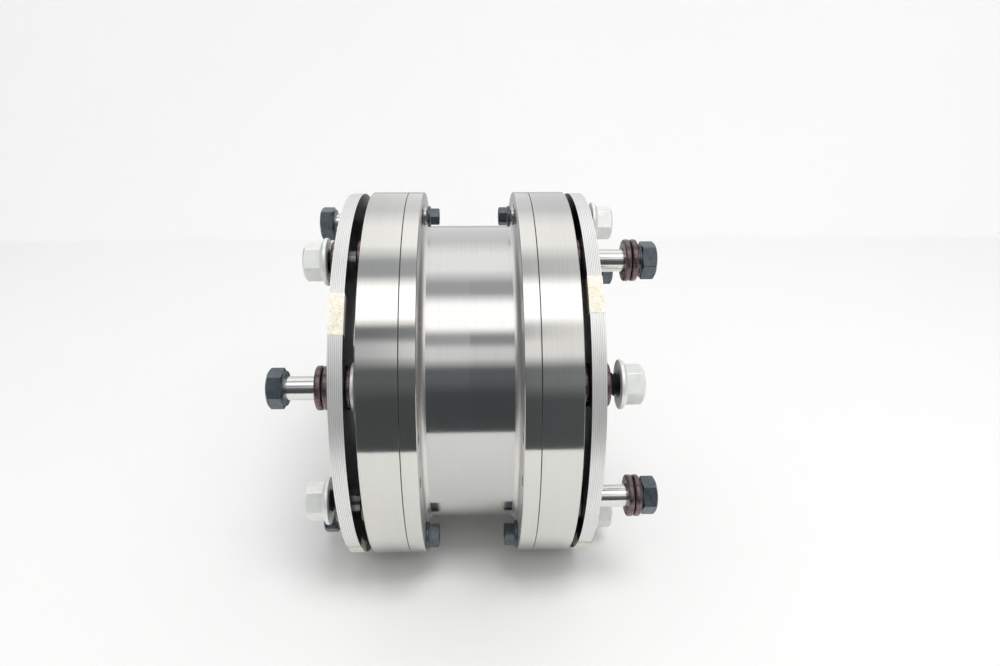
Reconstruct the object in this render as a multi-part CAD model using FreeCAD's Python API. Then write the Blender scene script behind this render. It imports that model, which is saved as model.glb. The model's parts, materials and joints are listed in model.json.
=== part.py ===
import FreeCAD, Part
import math
import os

# Centre member of a flexible disc coupling, in millimetres.
# X is the axis of rotation, Z points up, and the origin is on the axis midway between the two flanges.
# Angles run around X: 0 degrees faces -Y and 90 degrees is the top.
# "Right" is the +X end and "left" the -X end. Axial places are distances from the origin at either end.

INCH = 25.4

# Driving dimensions
flange_radius = 4.5 * INCH
tube_radius = 93.2
tube_bore_radius = 85.0
flange_inner_face = 27.5
flange_thickness = 9.0
tube_fillet = 3.5
edge_chamfer = 0.6
witness_line_depth = 0.2
# How far a cut reaches past the face it starts from
cut_margin = 1.0

ring_thickness = 21.9
ring_bore_radius = 3.0 * INCH
spigot_length = 5.0
spigot_clearance = 0.05
ring_shoulder = 11.0

disc_count = 8
disc_thickness = 0.975
disc_edge_bevel = 0.15
pack_radius = 113.5
pack_bore_radius = 77.0
left_pack_gap = 6.0
right_pack_gap = 3.6

bolt_circle_radius = 3.75 * INCH
bolts_per_end = 8
first_bolt_angle = 22.5
body_radius = 0.25 * INCH
body_hole_radius = 6.42
bolt_length = 1.625 * INCH
body_length = 26.0
thread_pitch = INCH / 13
thread_radius = 6.30
thread_root_radius = 5.45
bolt_end_chamfer = 1.0
head_flats = 0.75 * INCH
head_height = 9.4
head_corner_slope = 30.0
head_end_cone = 1.1
head_base_cone = 0.7
head_washer_face = 0.7
head_washer_radius = 0.36 * INCH
pocket_radius = 14.3

nut_flats = 0.75 * INCH
nut_height = 13.4
nut_end_radius = 8.4
nut_end_slope = 32.0
nut_base_cone = 0.3
nut_flange_radius = 13.35
nut_flange_edge = 1.9
nut_flange_chamfer = 0.5
nut_flange_slope_length = 2.2
nut_bore_radius = 6.36
nut_base_countersink = 1.0
nut_end_countersink = 0.45
nut_countersink_depth = 0.6
nut_stop_gap = 0.5

washer_radius = 11.85
washer_bore_radius = 6.75
washer_thickness = 3.5
washer_rounding = 1.1
washer_pair_gap = 0.4
thrust_washer_thickness = 2.5

screw_radius = 0.125 * INCH - 0.05
screw_hole_radius = 3.2
screw_circle_radius = 104.5
ring_screw_offset = 7.5
ring_screw_length = 0.875 * INCH
ring_screw_head_radius = 4.75
ring_screw_head_height = 0.25 * INCH
ring_screw_head_chamfer = 0.5
ring_screw_socket = 0.1875 * INCH
ring_screw_end_chamfer = 0.8
ring_screw_pocket_radius = 5.2
ring_screw_pocket_depth = 6.8
ring_screw_hole_radius = 3.4

small_balance_angle = 90.0
small_balance_circle = 103.3
small_balance_flats = 0.375 * INCH
small_balance_head = 5.2
small_balance_washer = 6.2
balance_collar_radius = 5.2
balance_collar_thickness = 3.0
balance_collar_rounding = 0.5
balance_collar_clearance = 0.1
large_balance_angle = -45.0
large_balance_circle = 105.0
large_balance_flats = 0.5 * INCH
large_balance_head = 6.2
large_balance_washer = 8.2
large_screw_radius = 0.15625 * INCH - 0.05
large_screw_hole_radius = 4.0
balance_washer_thickness = 1.8
balance_washer_rounding = 0.4
balance_washer_clearance = 0.2
balance_thread_depth = 7.5
balance_hole_depth = 8.0
balance_end_chamfer = 0.6
balance_head_cone = 0.6
balance_base_cone = 0.2
# How far a turned shank runs into the head it belongs to
shank_overlap = 0.5

tape_thickness = 0.2
left_tape_width = 12.2
right_tape_width = 11.5
tape_reach = 6.0

# How far each hub bolt stands out from home, and how its head is turned, going round from the lowest angle
left_draws = (16.4, 5.3, 9.0, 6.3)
right_draws = (18.05, 18.8, 8.0, 18.6)
left_head_turns = (38.6, 26.6, 12.0, 50.0)
right_head_turns = (36.6, 20.0, 5.0, 56.7)
# How much further round each hub bolt's nut is turned than its head
hub_nut_lag = 20.0
# How far each pair of washers hangs off the left pack, or off the head at the right end
left_pair_gaps = (0.8, 0.5, 0.3, 0.5)
right_pair_gaps = (1.25, 0.2, 0.4, 0.1)
# The bearing face of each nut outside a pack, and how the nut is turned
left_nut_faces = (77.9, 78.8, 78.2, 79.3)
right_nut_faces = (78.45, 79.0, 78.4, 78.7)
left_nut_turns = (27.7, 8.0, 25.0, 17.5)
right_nut_turns = (47.6, 48.6, 15.0, 30.0)
# How the balancing screws' heads are turned, the left end first
small_balance_turns = (14.0, 37.5)
large_balance_turns = (27.0, 35.0)
left_tape_angles = (42.8, -42.0)
right_tape_angles = (47.7, -41.5)

# Worked out from the dimensions above
flange_outer_face = flange_inner_face + flange_thickness
ring_face = flange_outer_face + ring_thickness
head_seat = ring_face - ring_shoulder
pack_thickness = disc_count * disc_thickness
left_pack_inner = ring_face + left_pack_gap
right_pack_inner = ring_face + right_pack_gap
washer_pair_length = 2 * washer_thickness + washer_pair_gap
step_angle = 360.0 / bolts_per_end
hub_spacing = 2 * step_angle

X_AXIS = FreeCAD.Vector(1, 0, 0)
Z_AXIS = FreeCAD.Vector(0, 0, 1)
ORIGIN = FreeCAD.Vector(0, 0, 0)


def point(x, radius):
    """A point of a half section, at a distance from the axis."""
    return FreeCAD.Vector(x, radius, 0)


def turned(edges):
    """The solid that a closed half section makes when it is turned around X."""
    face = Part.Face(Part.Wire(edges))
    return face.revolve(ORIGIN, X_AXIS, 360)


def lines(*points):
    """Straight edges joining points in turn."""
    vectors = [point(*p) for p in points]
    return [Part.LineSegment(a, b).toShape() for a, b in zip(vectors, vectors[1:])]


def arc(start, middle, end):
    """One round edge through three points."""
    return Part.Arc(point(*start), point(*middle), point(*end)).toShape()


def turned_outline(*points):
    """The solid turned from a straight-sided half section."""
    return turned(lines(*points, points[0]))


def cylinder(radius, start, end):
    """A round bar on the X axis."""
    return Part.makeCylinder(radius, end - start, FreeCAD.Vector(start, 0, 0), X_AXIS)


def corner_radius(flats):
    """Half the width of a hexagon across its corners."""
    return 0.5 * flats / math.cos(math.radians(30))


def hexagon(flats, start, end):
    """A hexagonal bar on the X axis with one corner towards -Y."""
    radius = corner_radius(flats)
    corners = []
    for k in range(7):
        turn = math.radians(60 * k)
        corners.append(FreeCAD.Vector(start, -radius * math.cos(turn), radius * math.sin(turn)))
    face = Part.Face(Part.makePolygon(corners))
    return face.extrude(FreeCAD.Vector(end - start, 0, 0))


def round_corners(hexagonal, flats, start, end, start_cone, end_cone, slope_angle=head_corner_slope):
    """The same bar with its corners turned off by a cone at either end."""
    corner = corner_radius(flats)
    slope = math.tan(math.radians(slope_angle))
    start_radius = corner - start_cone / slope
    end_radius = corner - end_cone / slope
    barrel = turned_outline(
        (start, 0), (start, start_radius), (start + start_cone, corner),
        (end - end_cone, corner), (end, end_radius), (end, 0),
    )
    return hexagonal.common(barrel)


def place(shape, x, radius, angle, points=1, turn=0.0):
    """A part drawn along +X, pointed along +X or -X, turned about itself and moved to its place."""
    moved = shape.copy()
    if points < 0:
        moved.rotate(ORIGIN, Z_AXIS, 180)
    moved.rotate(ORIGIN, X_AXIS, -turn)
    y = -radius * math.cos(math.radians(angle))
    z = radius * math.sin(math.radians(angle))
    moved.translate(FreeCAD.Vector(x, y, z))
    return moved


def hub_angles(side):
    """Where the four hub bolts of one end stand: the two ends are one bolt step apart."""
    first = first_bolt_angle if side < 0 else first_bolt_angle + step_angle
    return [first + hub_spacing * k for k in range(4)]


def pack_angles(side):
    """Where the four pack bolts of one end stand, between the hub bolts."""
    first = first_bolt_angle + step_angle if side < 0 else first_bolt_angle
    return [first + hub_spacing * k for k in range(4)]


def ring_screw_angles():
    """Two ring screws beside each quarter point."""
    return [90.0 * k + s * ring_screw_offset for k in range(4) for s in (-1, 1)]


def pack_inner(side):
    return left_pack_inner if side < 0 else right_pack_inner


def pack_outer(side):
    return pack_inner(side) + pack_thickness


def save(name, solids):
    """Writes one node from its separate solids."""
    shape = solids[0] if len(solids) == 1 else Part.makeCompound(solids)
    shape.exportStep("parts/" + name + ".step")


def drill(body, radius, start, end, circle, angles):
    """Cuts round holes parallel to X out of a body."""
    bar = cylinder(radius, start, end)
    holes = [place(bar, 0, circle, angle) for angle in angles]
    return body.cut(holes)


def spacer():
    """The tube with a flange at each end, in one piece."""
    c = edge_chamfer
    root = tube_radius + tube_fillet
    bend = tube_fillet * (1 - math.sqrt(0.5))
    inner, outer = flange_inner_face, flange_outer_face
    run = inner - tube_fillet
    edges = lines((-run, tube_radius), (-2 * witness_line_depth, tube_radius),
                  (0, tube_radius - witness_line_depth),
                  (2 * witness_line_depth, tube_radius), (run, tube_radius))
    edges.append(arc((run, tube_radius), (inner - bend, tube_radius + bend), (inner, root)))
    edges += lines((inner, root), (inner, flange_radius - c), (inner + c, flange_radius),
                   (outer - c, flange_radius), (outer, flange_radius - c),
                   (outer, tube_bore_radius), (-outer, tube_bore_radius),
                   (-outer, flange_radius - c), (c - outer, flange_radius),
                   (-inner - c, flange_radius), (-inner, flange_radius - c), (-inner, root))
    edges.append(arc((-inner, root), (bend - inner, tube_radius + bend), (-run, tube_radius)))
    body = turned(edges)
    for side in (-1, 1):
        ends = sorted((side * (inner - cut_margin), side * (outer + cut_margin)))
        body = drill(body, screw_hole_radius, *ends, screw_circle_radius, ring_screw_angles())
        ends = sorted((side * (inner - cut_margin), side * (inner + balance_hole_depth)))
        body = drill(body, screw_hole_radius, *ends, small_balance_circle, [small_balance_angle])
        body = drill(body, large_screw_hole_radius, *ends, large_balance_circle, [large_balance_angle])
    return body


def adapter_ring(side):
    """The ring screwed to a spacer flange, with open pockets for the nuts and bolt heads."""
    c = edge_chamfer
    start, face = flange_outer_face, ring_face
    spigot_radius = tube_bore_radius - spigot_clearance
    spigot_end = start - spigot_length
    body = turned_outline(
        (start, spigot_radius), (start, flange_radius - c), (start + c, flange_radius),
        (face - c, flange_radius), (face, flange_radius - c),
        (face, ring_bore_radius + c), (face - c, ring_bore_radius),
        (spigot_end, ring_bore_radius), (spigot_end, spigot_radius - c),
        (spigot_end + c, spigot_radius),
    )
    circle = bolt_circle_radius
    if side < 0:
        body.rotate(ORIGIN, Z_AXIS, 180)
    span = sorted((side * start, side * (face + cut_margin)))
    body = drill(body, pocket_radius, *span, circle, hub_angles(side))
    body = drill(body, body_hole_radius, *span, circle, pack_angles(side))
    span = sorted((side * start, side * head_seat))
    body = drill(body, pocket_radius, *span, circle, pack_angles(side))
    span = sorted((side * start, side * (face + cut_margin)))
    body = drill(body, ring_screw_hole_radius, *span, screw_circle_radius, ring_screw_angles())
    span = sorted((side * (face - ring_screw_pocket_depth), side * (face + cut_margin)))
    return drill(body, ring_screw_pocket_radius, *span, screw_circle_radius, ring_screw_angles())


def pack_discs(side):
    """The thin flexing discs of one pack, from the ring outwards, with bevelled rims."""
    bevel = disc_edge_bevel
    all_angles = [first_bolt_angle + step_angle * k for k in range(bolts_per_end)]
    discs = []
    for k in range(disc_count):
        near = pack_inner(side) + k * disc_thickness
        start, end = sorted((side * near, side * (near + disc_thickness)))
        disc = turned_outline(
            (start, pack_bore_radius), (start, pack_radius - bevel), (start + bevel, pack_radius),
            (end - bevel, pack_radius), (end, pack_radius - bevel), (end, pack_bore_radius),
        )
        span = (start - cut_margin, end + cut_margin)
        discs.append(drill(disc, body_hole_radius, *span, bolt_circle_radius, all_angles))
    return discs


def tape(side, angle):
    """One strip of masking tape folded over the rim of a pack."""
    t = tape_thickness
    width = left_tape_width if side < 0 else right_tape_width
    near, far = pack_inner(side), pack_outer(side)
    low = pack_radius - tape_reach
    points = [(near - t, low), (near - t, pack_radius + t), (far + t, pack_radius + t),
              (far + t, low), (far, low), (far, pack_radius), (near, pack_radius), (near, low)]
    wire = Part.makePolygon([point(side * x, r) for x, r in points + points[:1]])
    strip = Part.Face(wire).revolve(ORIGIN, X_AXIS, width)
    # The section starts on +Y, which is 180 degrees, and turning about +X lowers the angle.
    strip.rotate(ORIGIN, X_AXIS, 180 - angle - 0.5 * width)
    return strip


def hex_bolt():
    """A body-fit bolt: the head bears at x = 0 and the shank runs along +X."""
    head = hexagon(head_flats, -head_height, -head_washer_face)
    head = round_corners(head, head_flats, -head_height, -head_washer_face, head_end_cone, head_base_cone)
    bearing = cylinder(head_washer_radius, -head_washer_face, 0)
    section = [(-head_washer_face, 0), (-head_washer_face, body_radius), (body_length, body_radius)]
    x = body_length + 0.5 * thread_pitch
    section.append((x, thread_root_radius))
    while x + thread_pitch < bolt_length - bolt_end_chamfer:
        section.append((x + 0.5 * thread_pitch, thread_radius))
        section.append((x + thread_pitch, thread_root_radius))
        x += thread_pitch
    section += [(bolt_length - bolt_end_chamfer, thread_radius), (bolt_length, thread_root_radius),
                (bolt_length, 0)]
    return head.fuse([bearing, turned_outline(*section)]).removeSplitter()


def flange_nut():
    """A flange nut with a drawn-in end: it bears at x = 0 and stands along +X."""
    c, edge, rim = nut_flange_chamfer, nut_flange_edge, nut_flange_radius
    end_cone = (corner_radius(nut_flats) - nut_end_radius) * math.tan(math.radians(nut_end_slope))
    grip = hexagon(nut_flats, c, nut_height)
    grip = round_corners(grip, nut_flats, c, nut_height, nut_base_cone, end_cone, nut_end_slope)
    flange_end = edge + nut_flange_slope_length
    flange = turned_outline(
        (0, 0), (0, rim - c), (c, rim), (edge, rim), (edge + c, rim - c),
        (flange_end, 0.5 * nut_flats), (flange_end, 0),
    )
    depth = nut_countersink_depth
    bore = turned_outline(
        (0, 0), (0, nut_bore_radius + nut_base_countersink), (depth, nut_bore_radius),
        (nut_height - depth, nut_bore_radius), (nut_height, nut_bore_radius + nut_end_countersink),
        (nut_height, 0),
    )
    return grip.fuse(flange).cut(bore).removeSplitter()


def washer(thickness, outer=washer_radius, bore=washer_bore_radius, rounding=washer_rounding):
    """A washer with a rounded rim, from x = 0 to its thickness."""
    bend = rounding * (1 - math.sqrt(0.5))
    edges = lines((thickness, outer - rounding), (thickness, bore), (0, bore), (0, outer - rounding))
    edges.append(arc((0, outer - rounding), (bend, outer - bend), (rounding, outer)))
    edges += lines((rounding, outer), (thickness - rounding, outer))
    edges.append(arc((thickness - rounding, outer), (thickness - bend, outer - bend),
                     (thickness, outer - rounding)))
    return turned(edges)


def washer_pair():
    """Two washers side by side, from x = 0 outwards."""
    one = washer(washer_thickness)
    other = one.copy()
    other.translate(FreeCAD.Vector(washer_thickness + washer_pair_gap, 0, 0))
    return Part.makeCompound([one, other])


def ring_screw():
    """A socket-head screw: the head bears at x = 0 and the shank runs along +X."""
    height, rim, c = ring_screw_head_height, ring_screw_head_radius, ring_screw_head_chamfer
    head = turned_outline((-height, 0), (-height, rim - c), (c - height, rim), (0, rim), (0, 0))
    length, c = ring_screw_length, ring_screw_end_chamfer
    shank = turned_outline(
        (-shank_overlap, 0), (-shank_overlap, screw_radius), (length - c, screw_radius),
        (length, screw_radius - c), (length, 0),
    )
    socket = hexagon(ring_screw_socket, -height - cut_margin, -0.5 * height)
    return head.fuse(shank).cut(socket).removeSplitter()


def balance_screw(flats, head, radius, stack):
    """A small hexagon-head screw: the head bears at x = 0 and the shank runs along +X."""
    bar = hexagon(flats, -head, 0)
    hexagonal = round_corners(bar, flats, -head, 0, balance_head_cone, balance_base_cone)
    end = stack + balance_thread_depth
    c = balance_end_chamfer
    shank = turned_outline(
        (-shank_overlap, 0), (-shank_overlap, radius), (end - c, radius), (end, radius - c), (end, 0),
    )
    return hexagonal.fuse(shank).removeSplitter()


def save_rings_and_packs():
    save("spacer", [spacer()])
    for side, end in ((-1, "left"), (1, "right")):
        save("adapter_ring_" + end, [adapter_ring(side)])
        save("disc_pack_" + end, pack_discs(side))
        angles = left_tape_angles if side < 0 else right_tape_angles
        save("tape_" + end, [tape(side, angle) for angle in angles])


def save_hub_fasteners():
    """Bolts with their heads outside, each with a nut in the ring's pocket and two loose washers."""
    bolt, nut, pair = hex_bolt(), flange_nut(), washer_pair()
    thrust = washer(thrust_washer_thickness)
    for side, end in ((-1, "left"), (1, "right")):
        draws = left_draws if side < 0 else right_draws
        turns = left_head_turns if side < 0 else right_head_turns
        gaps = left_pair_gaps if side < 0 else right_pair_gaps
        thrust_face = pack_inner(side) - thrust_washer_thickness
        thrust_washers = []
        for k, angle in enumerate(hub_angles(side)):
            name = end + "_" + str(k + 1)
            seat = pack_outer(side) + washer_pair_length + draws[k]
            where = (bolt_circle_radius, angle)
            nut_face = min(thrust_face, seat - body_length - nut_stop_gap)
            save("hub_bolt_" + name, [place(bolt, side * seat, *where, -side, turns[k])])
            nut_turn = turns[k] + hub_nut_lag
            save("hub_nut_" + name, [place(nut, side * nut_face, *where, -side, nut_turn)])
            hung = pack_outer(side) + gaps[k]
            pair_start = hung if side < 0 else seat - gaps[k] - washer_pair_length
            save("hub_washers_" + name, [place(pair, side * pair_start, *where, side)])
            thrust_washers.append(place(thrust, side * pack_inner(side), *where, -side))
        save("hub_thrust_washers_" + end, thrust_washers)


def save_pack_fasteners():
    """Bolts with their heads in the rings' pockets and their nuts outside the packs."""
    bolt, nut, one = hex_bolt(), flange_nut(), washer(washer_thickness)
    bolts, ring_washers = [], []
    for side, end in ((-1, "left"), (1, "right")):
        faces = left_nut_faces if side < 0 else right_nut_faces
        turns = left_nut_turns if side < 0 else right_nut_turns
        for k, angle in enumerate(pack_angles(side)):
            name = end + "_" + str(k + 1)
            where = (bolt_circle_radius, angle)
            bolts.append(place(bolt, side * head_seat, *where, side))
            ring_washers.append(place(one, side * ring_face, *where, side))
            save("pack_washer_" + name, [place(one, side * pack_outer(side), *where, side)])
            save("pack_nut_" + name, [place(nut, side * faces[k], *where, side, turns[k])])
    save("pack_bolts", bolts)
    save("ring_washers", ring_washers)


def save_ring_screws():
    """The screws that hold the rings to the spacer."""
    screw = ring_screw()
    seat = ring_face - ring_screw_pocket_depth
    circle = screw_circle_radius
    screws = [place(screw, side * seat, circle, angle, -side, angle)
              for side in (-1, 1) for angle in ring_screw_angles()]
    save("ring_screws", screws)


def save_balance_screws():
    """The balancing screws inside the flanges: a small one on a collar and a large one at each end."""
    thickness, rounding = balance_washer_thickness, balance_washer_rounding
    clearance = balance_washer_clearance
    small_stack = balance_collar_thickness + thickness
    small = balance_screw(small_balance_flats, small_balance_head, screw_radius, small_stack)
    small_flat = washer(thickness, small_balance_washer, screw_radius + clearance, rounding)
    collar = washer(balance_collar_thickness, balance_collar_radius,
                    screw_radius + balance_collar_clearance, balance_collar_rounding)
    large = balance_screw(large_balance_flats, large_balance_head, large_screw_radius, thickness)
    large_flat = washer(thickness, large_balance_washer, large_screw_radius + clearance, rounding)
    at_small = (small_balance_circle, small_balance_angle)
    at_large = (large_balance_circle, large_balance_angle)
    face, ends = flange_inner_face, (-1, 1)
    collars = [place(collar, side * face, *at_small, -side) for side in ends]
    flat_face = face - balance_collar_thickness
    small_flats = [place(small_flat, side * flat_face, *at_small, -side) for side in ends]
    smalls = [place(small, side * (face - small_stack), *at_small, side, turn)
              for side, turn in zip(ends, small_balance_turns)]
    large_flats = [place(large_flat, side * face, *at_large, -side) for side in ends]
    larges = [place(large, side * (face - thickness), *at_large, side, turn)
              for side, turn in zip(ends, large_balance_turns)]
    save("balance_collars", collars)
    save("balance_washers_small", small_flats)
    save("balance_screws_small", smalls)
    save("balance_washers_large", large_flats)
    save("balance_screws_large", larges)


os.makedirs("parts", exist_ok=True)
save_rings_and_packs()
save_hub_fasteners()
save_pack_fasteners()
save_ring_screws()
save_balance_screws()
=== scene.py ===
import json
import math

import bmesh
import bpy
from mathutils import Matrix, Vector, noise


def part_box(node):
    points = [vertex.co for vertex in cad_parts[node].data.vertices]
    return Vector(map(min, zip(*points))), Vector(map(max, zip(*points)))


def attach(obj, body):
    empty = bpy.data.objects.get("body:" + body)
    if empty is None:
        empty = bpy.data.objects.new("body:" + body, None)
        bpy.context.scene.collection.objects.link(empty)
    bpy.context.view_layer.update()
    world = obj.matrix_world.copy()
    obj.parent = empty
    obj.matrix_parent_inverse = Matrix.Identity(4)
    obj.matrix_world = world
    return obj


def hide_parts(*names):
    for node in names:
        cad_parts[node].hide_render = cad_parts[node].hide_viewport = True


# Looks of the centre member of a flexible disc coupling, in metres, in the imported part's frame.
# X is the axis of rotation. Angles run around X: 0 degrees faces -Y and 90 degrees is the top.

MM = 0.001
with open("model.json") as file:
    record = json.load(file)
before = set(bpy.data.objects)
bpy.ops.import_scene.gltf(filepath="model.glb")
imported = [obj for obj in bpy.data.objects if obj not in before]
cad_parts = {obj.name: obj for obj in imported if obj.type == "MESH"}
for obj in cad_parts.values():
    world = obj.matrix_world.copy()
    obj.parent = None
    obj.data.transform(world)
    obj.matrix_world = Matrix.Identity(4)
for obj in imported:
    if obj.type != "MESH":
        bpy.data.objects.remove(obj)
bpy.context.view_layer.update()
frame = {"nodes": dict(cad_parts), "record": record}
NODES = frame["nodes"]
END_SIDES = (("left", -1), ("right", 1))

# Camera of the photo, in degrees and metres, with its lens in millimetres: it looks down at the axis
CAMERA_ELEVATION = 27.8
CAMERA_DISTANCE = 0.498
CAMERA_PITCH = -2.7265
CAMERA_YAW = -2.2676
CAMERA_ROLL = -0.6501
CAMERA_LENS = 27.3

# Edges stay crisp above this angle, in degrees
SHARP_DEGREES = 24.0
# A hexagon's corners are this far apart, in degrees
HEX_SIDE = 60.0


# ---------------------------------------------------------------- shapes

def turn_point(x, radius, angle):
    """The point at a distance from the X axis, at an angle counted from -Y towards the top."""
    return Vector((x, -radius * math.cos(angle), radius * math.sin(angle)))


def even_angles(count):
    return [2 * math.pi * k / count for k in range(count)]


def hex_angles(first_corner):
    """Angles round a hexagon, close together near its corners."""
    steps = (0.0, 0.7, 1.6, 3.0, 6.0, 11.0, 17.0, 24.0)
    half = list(steps) + [0.5 * HEX_SIDE] + [HEX_SIDE - s for s in reversed(steps[1:])]
    return [math.radians(first_corner + HEX_SIDE * k + s) for k in range(6) for s in half]


def hex_radius(angle, first_corner, flats):
    """Distance from a hexagon's centre to its side, with each corner slightly broken."""
    around = (math.degrees(angle) - first_corner) % HEX_SIDE
    side = 0.5 * flats / math.cos(math.radians(around - 0.5 * HEX_SIDE))
    broken_corner = 0.991 * flats / math.sqrt(3.0)
    return min(side, broken_corner)


def hex_row(x, corner, flats, rise=0.0):
    """A row round a hexagon at x. rise lifts it along x by the distance outside the chamfer's flat circle."""
    def row(angle):
        radius = hex_radius(angle, corner, flats)
        return x + rise * max(radius - flat_circle(flats), 0.0), radius
    return row


def flat_circle(flats):
    """Radius of the round flat that a head's chamfer leaves on its end."""
    return 0.475 * flats


def mesh_object(name, vertices, faces, slots, face_slots=None, sharp_degrees=SHARP_DEGREES):
    """A smooth-shaded mesh whose edges stay crisp above an angle."""
    mesh = bpy.data.meshes.new(name)
    mesh.from_pydata([tuple(v) for v in vertices], [], faces)
    for slot in slots:
        mesh.materials.append(slot)
    if face_slots:
        mesh.polygons.foreach_set("material_index", face_slots)
    mesh.validate()
    finish_mesh(mesh, sharp_degrees)
    thing = bpy.data.objects.new(name, mesh)
    bpy.context.collection.objects.link(thing)
    return thing


def finish_mesh(mesh, sharp_degrees):
    """Merges doubled points, turns the faces outwards and marks the crisp edges."""
    work = bmesh.new()
    work.from_mesh(mesh)
    bmesh.ops.remove_doubles(work, verts=work.verts, dist=1e-7)
    bmesh.ops.recalc_face_normals(work, faces=work.faces)
    work.to_mesh(mesh)
    work.free()
    mesh.shade_smooth()
    mesh.set_sharp_from_angle(angle=math.radians(sharp_degrees))


def swept(name, rows, angles, slots, row_slots=None, closed=False):
    """A mesh round the X axis. Each row gives (x, radius) for an angle; row_slots gives each band's slot."""
    vertices = []
    for row in rows:
        for angle in angles:
            x, radius = row(angle) if callable(row) else row
            vertices.append(turn_point(x, radius, angle))
    count = len(angles)
    bands = len(rows) if closed else len(rows) - 1
    faces, face_slots = [], []
    for j in range(bands):
        nxt = (j + 1) % len(rows)
        for k in range(count):
            m = (k + 1) % count
            faces.append((j * count + k, j * count + m, nxt * count + m, nxt * count + k))
            face_slots.append(row_slots[j] if row_slots else 0)
    return mesh_object(name, vertices, faces, slots, face_slots)


def revolved(name, profile, slots, row_slots=None, count=288):
    """A round mesh from a closed loop of (x, radius) points."""
    return swept(name, profile, even_angles(count), slots, row_slots, closed=True)


def cut_round_holes(body, holes, count=48):
    """Cuts bars parallel to X out of a body. Each hole is (x start, x end, y, z, radius)."""
    work = bmesh.new()
    for start, end, y, z, radius in holes:
        turn = Matrix.Rotation(math.radians(90.0), 4, "Y")
        place = Matrix.Translation(Vector((0.5 * (start + end), y, z))) @ turn
        bmesh.ops.create_cone(work, cap_ends=True, segments=count, radius1=radius, radius2=radius,
                              depth=abs(end - start), matrix=place)
    mesh = bpy.data.meshes.new("cutter")
    work.to_mesh(mesh)
    work.free()
    mesh.materials.append(body.data.materials[0])
    cutter = bpy.data.objects.new("cutter", mesh)
    bpy.context.collection.objects.link(cutter)
    cut = body.modifiers.new("holes", "BOOLEAN")
    cut.operation = "DIFFERENCE"
    cut.solver = "EXACT"
    cut.object = cutter
    bpy.context.view_layer.update()
    result = bpy.data.meshes.new_from_object(body.evaluated_get(bpy.context.evaluated_depsgraph_get()))
    body.modifiers.clear()
    body.data = result
    bpy.data.objects.remove(cutter)
    result.shade_smooth()
    result.set_sharp_from_angle(angle=math.radians(SHARP_DEGREES))


def solids(node):
    """(lowest corner, highest corner) of each separate solid of a CAD node, in the frame."""
    work = bmesh.new()
    work.from_mesh(NODES[node].data)
    bmesh.ops.remove_doubles(work, verts=work.verts, dist=1e-6)
    work.verts.ensure_lookup_table()
    seen, found = set(), []
    for first in work.verts:
        if first.index in seen:
            continue
        seen.add(first.index)
        queue, group = [first], []
        while queue:
            vertex = queue.pop()
            group.append(vertex.co.copy())
            for edge in vertex.link_edges:
                other = edge.other_vert(vertex)
                if other.index not in seen:
                    seen.add(other.index)
                    queue.append(other)
        low = Vector(min(v[i] for v in group) for i in range(3))
        high = Vector(max(v[i] for v in group) for i in range(3))
        found.append((low, high))
    work.free()
    return found


def corner_degrees(node, first_x, last_x, axis_y, axis_z):
    """Angle of a hexagon's corner about its own axis, from the CAD vertices between two places on X."""
    low_x, high_x = sorted((first_x, last_x))
    best, angle = 0.0, 0.0
    for vertex in NODES[node].data.vertices:
        y, z = vertex.co.y - axis_y, vertex.co.z - axis_z
        inside = low_x <= vertex.co.x <= high_x
        if inside and math.hypot(y, z) > best + 1e-6:
            best = math.hypot(y, z)
            angle = math.degrees(math.atan2(z, -y))
    return angle % HEX_SIDE


def axis_of(low, high):
    """(y, z) of the middle of a box."""
    return 0.5 * (low.y + high.y), 0.5 * (low.z + high.z)


# ---------------------------------------------------------------- materials

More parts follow.
